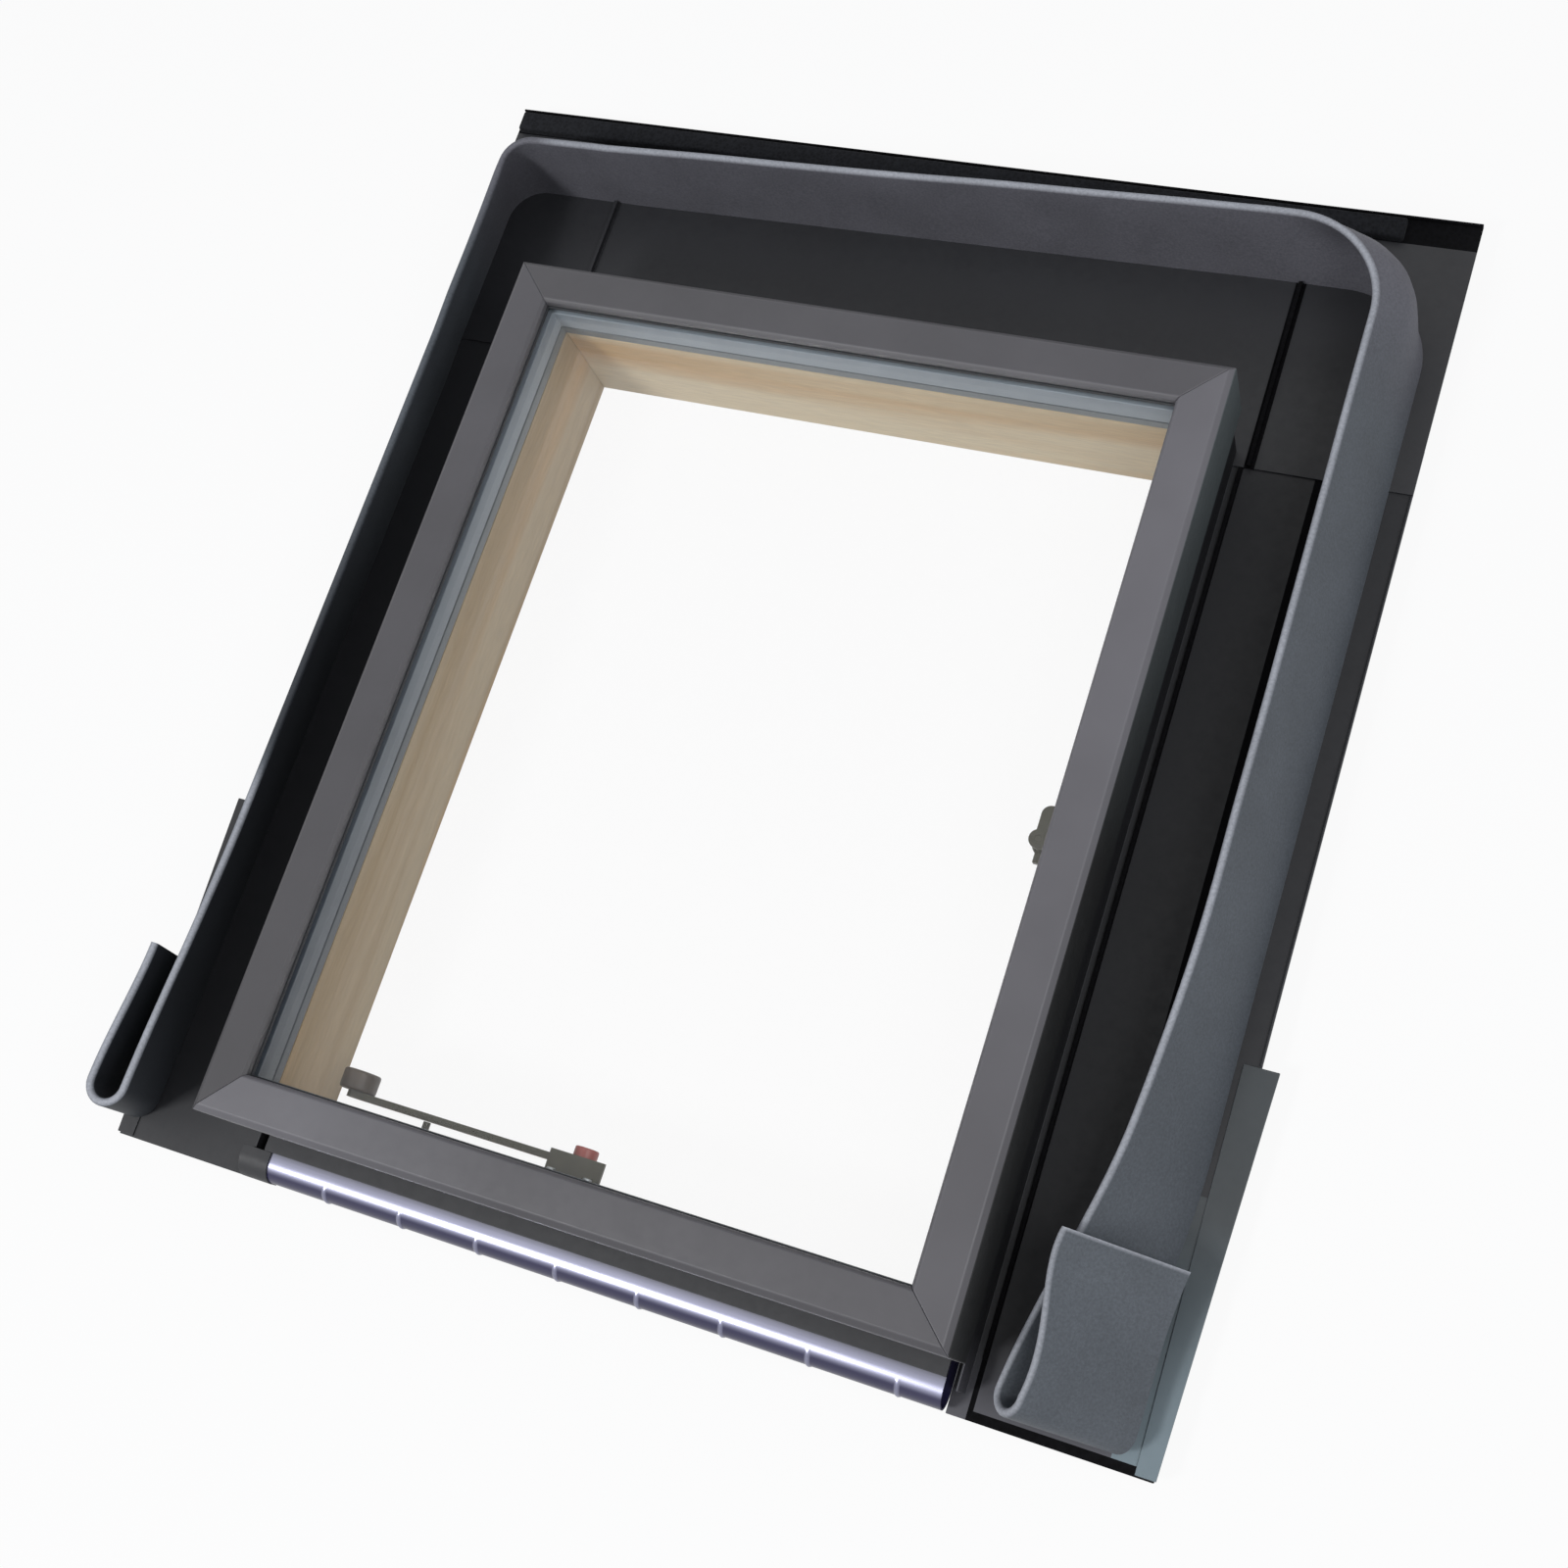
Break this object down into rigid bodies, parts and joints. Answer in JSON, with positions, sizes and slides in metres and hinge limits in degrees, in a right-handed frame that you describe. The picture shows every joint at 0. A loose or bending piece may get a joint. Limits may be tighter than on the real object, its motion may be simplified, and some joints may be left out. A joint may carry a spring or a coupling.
{
  "type": "roof skylight",
  "caption": "Side-hung roof skylight: double-glazed grey sash on a pine frame, with sheet gutters, a rolled apron and a flexible collar round the sides and top",
  "frame": {"origin": "under the middle of the flashing, level with the lower edge of the pine frame", "axes": "+Z out of the roof, +Y up the roof slope, +X to the right seen from outside"},
  "size_m": [0.6841, 0.759, 0.112],
  "materials": {
    "pine": "clear varnish, satin",
    "seal": "matt",
    "flashing": "dark grey coating, satin",
    "apron": "grey coating, glossy",
    "wing": "matt",
    "collar": "matt, fine grain",
    "foam": "open-cell, matt",
    "sash": "grey coating, satin",
    "bead": "grey coating, satin",
    "glass": "clear",
    "spacer": "plain, satin",
    "steel": "zinc plated",
    "red_cap": "matt",
    "grip": "matt"
  },
  "bodies": {
    "frame": {"pine_top_rail": "pine", "pine_bottom_rail": "pine", "pine_left_stile": "pine", "pine_right_stile": "pine", "frame_seal": "seal", "flashing_top": "flashing", "flashing_left": "flashing", "flashing_right": "flashing", "flashing_sill": "flashing", "corner_cap": "flashing", "apron": "apron", "wing_left": "wing", "wing_right": "wing", "collar": "collar", "foam_strip": "foam", "upper_hinge_frame_leaf": "steel", "lower_hinge_frame_leaf": "steel", "upper_hinge_pin": "steel", "lower_hinge_pin": "steel", "stay_peg": "steel", "catch_keeper": "steel", "frame_screws": "steel"},
    "sash": {"sash_top_rail": "sash", "sash_bottom_rail": "sash", "sash_left_stile": "sash", "sash_right_stile": "sash", "bead_top": "bead", "bead_bottom": "bead", "bead_left": "bead", "bead_right": "bead", "glazing_seal": "seal", "glass_outer": "glass", "spacer": "spacer", "glass_inner": "glass", "upper_hinge_sash_leaf": "steel", "lower_hinge_sash_leaf": "steel", "stay_bracket": "steel", "stay_pin": "steel", "stay_cap": "red_cap", "catch_base": "steel", "catch_pin": "steel", "sash_screws": "steel"},
    "stay": {"stay_bar": "steel", "stay_grip": "grip"},
    "catch": {"catch_lever": "grip"}
  },
  "joints": [
    {"name": "sash_hinge", "type": "hinge", "parent": "frame", "child": "sash", "pos_m": [-0.232, -0.0705, 0.056], "axis": [0, -1, 0], "range_deg": [0, 90]},
    {"name": "stay_pivot", "type": "hinge", "parent": "sash", "child": "stay", "pos_m": [-0.008, -0.3155, 0.0629], "axis": [0, -1, 0], "range_deg": [0, 75]},
    {"name": "catch_turn", "type": "hinge", "parent": "sash", "child": "catch", "pos_m": [0.19, -0.0725, 0.057], "axis": [0, 0, 1], "range_deg": [0, 90]}
  ]
}
